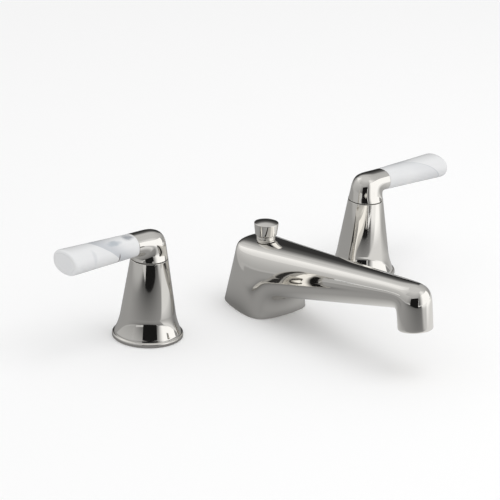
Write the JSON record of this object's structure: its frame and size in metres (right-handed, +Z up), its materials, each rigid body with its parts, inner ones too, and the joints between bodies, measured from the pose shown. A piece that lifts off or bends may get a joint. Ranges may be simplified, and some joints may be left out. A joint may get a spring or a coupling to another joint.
{
  "type": "bathroom faucet",
  "caption": "Widespread basin faucet: low cast spout with a lift knob between bell-shaped lever valves with oval marble grips, threaded shanks below the deck.",
  "frame": {"origin": "on the top of the deck, midway between the two valve axes, under the spout", "axes": "+X along the line of holes to the right-hand valve, -Y from the spout's foot to its outlet, +Z up"},
  "size_m": [0.3476, 0.1976, 0.1835],
  "materials": {
    "polished_nickel": "polished",
    "marble": "polished",
    "raw_brass": "as cast",
    "turned_brass": "turned",
    "copper": "drawn",
    "steel": "plain",
    "rubber": "matte",
    "ceramic": "lapped",
    "plastic": "matte"
  },
  "bodies": {
    "deck_set": {"left_escutcheon": "polished_nickel", "left_escutcheon_gasket": "rubber", "left_valve_body": "raw_brass", "left_top_nut": "raw_brass", "left_deck_washer": "steel", "left_lock_nut": "raw_brass", "left_port_seal": "rubber", "left_fixed_disc": "ceramic", "left_cartridge": "turned_brass", "left_bonnet": "turned_brass", "right_escutcheon": "polished_nickel", "right_escutcheon_gasket": "rubber", "right_valve_body": "raw_brass", "right_top_nut": "raw_brass", "right_deck_washer": "steel", "right_lock_nut": "raw_brass", "right_port_seal": "rubber", "right_fixed_disc": "ceramic", "right_cartridge": "turned_brass", "right_bonnet": "turned_brass", "spout_body": "polished_nickel", "spout_gasket": "rubber", "spout_shank": "raw_brass", "spout_washer": "steel", "spout_nut": "raw_brass", "water_tube": "copper", "tube_union": "raw_brass", "aerator_housing": "turned_brass", "aerator_insert": "plastic", "aerator_seal": "rubber", "rod_bush": "polished_nickel"},
    "left_handle": {"left_moving_disc": "ceramic", "left_spindle": "turned_brass", "left_lever": "polished_nickel", "left_set_screw": "steel", "left_grip_stud": "steel", "left_grip": "marble"},
    "right_handle": {"right_moving_disc": "ceramic", "right_spindle": "turned_brass", "right_lever": "polished_nickel", "right_set_screw": "steel", "right_grip_stud": "steel", "right_grip": "marble"},
    "lift": {"lift_rod": "turned_brass", "lift_knob": "polished_nickel"}
  },
  "joints": [
    {"name": "left_lever_turn", "type": "hinge", "parent": "deck_set", "child": "left_handle", "pos_m": [-0.1016, 0, 0.057], "axis": [0, 0, 1], "range_deg": [0, 90]},
    {"name": "right_lever_turn", "type": "hinge", "parent": "deck_set", "child": "right_handle", "pos_m": [0.1016, 0, 0.057], "axis": [0, 0, 1], "range_deg": [-90, 0]},
    {"name": "lift_slide", "type": "slide", "parent": "deck_set", "child": "lift", "axis": [0, 0, 1], "range_m": [0, 0.025]}
  ]
}
